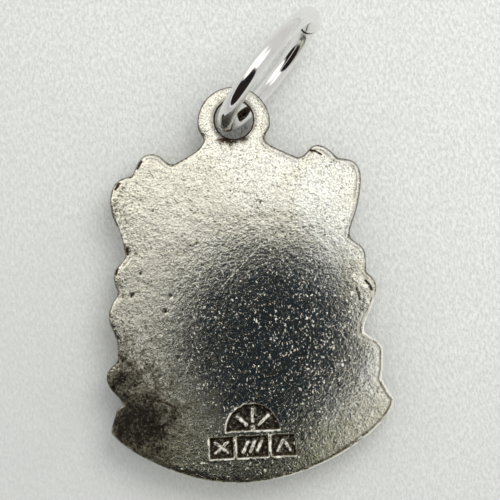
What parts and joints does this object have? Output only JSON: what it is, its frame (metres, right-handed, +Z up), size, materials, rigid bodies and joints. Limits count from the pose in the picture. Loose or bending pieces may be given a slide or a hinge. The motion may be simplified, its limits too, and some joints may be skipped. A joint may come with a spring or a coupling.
{
  "type": "crest charm with jump ring",
  "caption": "Cast silver charm in the shape of a crest, face down, with a flat back, struck marks, an eye and a split carrying ring.",
  "frame": {"origin": "middle of the shield on the front, on the surface that the charm lies on face down", "axes": "+Z up out of the flat back, +Y from the middle of the charm towards its eye, +X to the right as seen from the back"},
  "size_m": [0.0133, 0.0216, 0.007],
  "materials": {
    "cast_silver": "fine cast silver, worn and a little tarnished",
    "polished_silver": "mirror polished silver wire",
    "blue_enamel": "glossy opaque blue enamel",
    "green_enamel": "glossy opaque green enamel"
  },
  "bodies": {
    "charm": {"charm_body": "cast_silver", "enamel_field": "blue_enamel", "enamel_water_upper": "green_enamel", "enamel_water_lower": "green_enamel"},
    "ring": {"jump_ring": "polished_silver"}
  },
  "joints": [
    {"name": "ring_swing", "type": "hinge", "parent": "charm", "child": "ring", "pos_m": [0, 0.009, 0.00187], "axis": [0, 0, 1], "range_deg": [-45, 130]}
  ]
}
